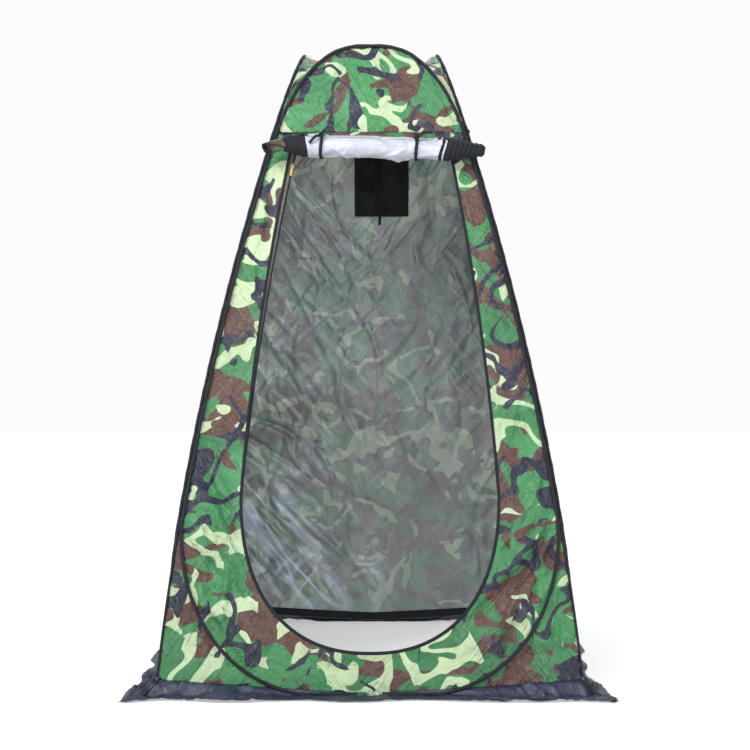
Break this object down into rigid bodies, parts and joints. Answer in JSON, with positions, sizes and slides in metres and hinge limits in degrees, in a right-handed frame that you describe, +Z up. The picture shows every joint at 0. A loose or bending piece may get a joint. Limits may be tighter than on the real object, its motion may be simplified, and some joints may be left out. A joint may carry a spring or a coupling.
{
  "type": "privacy shower tent",
  "caption": "Tall pop-up cabin of camouflage cloth on four spring-steel hoops, with a roll-up front door, a rear mesh window and a ground skirt.",
  "frame": {"origin": "on the ground, at the middle of the square plan", "axes": "+Z up, the door faces -Y, +X to the right of someone facing the door"},
  "size_m": [1.3806, 1.3806, 1.9093],
  "materials": {
    "camo_cloth": "satin",
    "silver_lining": "satin",
    "black_tape": "matte",
    "skirt_cloth": "satin",
    "window_mesh": "matte",
    "spring_steel": "satin",
    "zip_teeth": "satin",
    "brass": "satin",
    "label_cloth": "matte"
  },
  "bodies": {
    "cabin": {"front_panel": "camo_cloth", "front_header_panel": "camo_cloth", "back_panel": "camo_cloth", "left_panel": "camo_cloth", "right_panel": "camo_cloth", "roof_panel": "camo_cloth", "header_strap": "camo_cloth", "hoop_patch": "camo_cloth", "hoop_wire_front": "spring_steel", "hoop_wire_right": "spring_steel", "hoop_wire_back": "spring_steel", "hoop_wire_left": "spring_steel", "hoop_ferrule_front": "spring_steel", "hoop_ferrule_right": "spring_steel", "hoop_ferrule_back": "spring_steel", "hoop_ferrule_left": "spring_steel", "hoop_sleeve_front": "black_tape", "hoop_sleeve_right": "black_tape", "hoop_sleeve_back": "black_tape", "hoop_sleeve_left": "black_tape", "hem_tape_front": "black_tape", "hem_tape_right": "black_tape", "hem_tape_back": "black_tape", "hem_tape_left": "black_tape", "door_binding": "black_tape", "zip_tape": "black_tape", "window_frame": "black_tape", "window_tie_inner": "black_tape", "corner_piping_front_right": "black_tape", "corner_piping_back_right": "black_tape", "corner_piping_back_left": "black_tape", "corner_piping_front_left": "black_tape", "peg_loop_front_right": "black_tape", "peg_loop_back_right": "black_tape", "peg_loop_back_left": "black_tape", "peg_loop_front_left": "black_tape", "guy_loop_front_right": "black_tape", "guy_loop_back_right": "black_tape", "guy_loop_back_left": "black_tape", "guy_loop_front_left": "black_tape", "ground_skirt_front": "skirt_cloth", "ground_skirt_right": "skirt_cloth", "ground_skirt_back": "skirt_cloth", "ground_skirt_left": "skirt_cloth", "zip_chain": "zip_teeth", "window_mesh": "window_mesh", "blank_label": "label_cloth"},
    "rolled_door": {"door_flap_roll": "silver_lining", "door_tie_left": "black_tape", "door_tie_right": "black_tape"},
    "slider": {"zip_slider": "brass"},
    "outer_pull": {"zip_pull_outer": "brass"},
    "inner_pull": {"zip_pull_inner": "brass"},
    "window_cover": {"window_flap": "camo_cloth", "window_tie_outer": "black_tape"}
  },
  "joints": [
    {"name": "door_roll_lift", "type": "hinge", "parent": "cabin", "child": "rolled_door", "pos_m": [0, -0.29, 1.626], "axis": [-1, 0, 0], "range_deg": [0, 60]},
    {"name": "zip_slide", "type": "slide", "parent": "cabin", "child": "slider", "axis": [-0.1689, -0.2451, -0.9547], "range_m": [0, 0.3666]},
    {"name": "outer_pull_swing", "type": "hinge", "parent": "slider", "child": "outer_pull", "pos_m": [-0.2323, -0.31617, 1.52726], "axis": [-0.9847, 0, 0.1742], "range_deg": [0, 150]},
    {"name": "inner_pull_swing", "type": "hinge", "parent": "slider", "child": "inner_pull", "pos_m": [-0.23275, -0.30608, 1.52475], "axis": [0.9847, 0, -0.1742], "range_deg": [-12, 150]},
    {"name": "window_cover_lift", "type": "hinge", "parent": "cabin", "child": "window_cover", "pos_m": [0.034, 0.2752, 1.672], "axis": [1, 0, 0], "range_deg": [0, 120]}
  ]
}
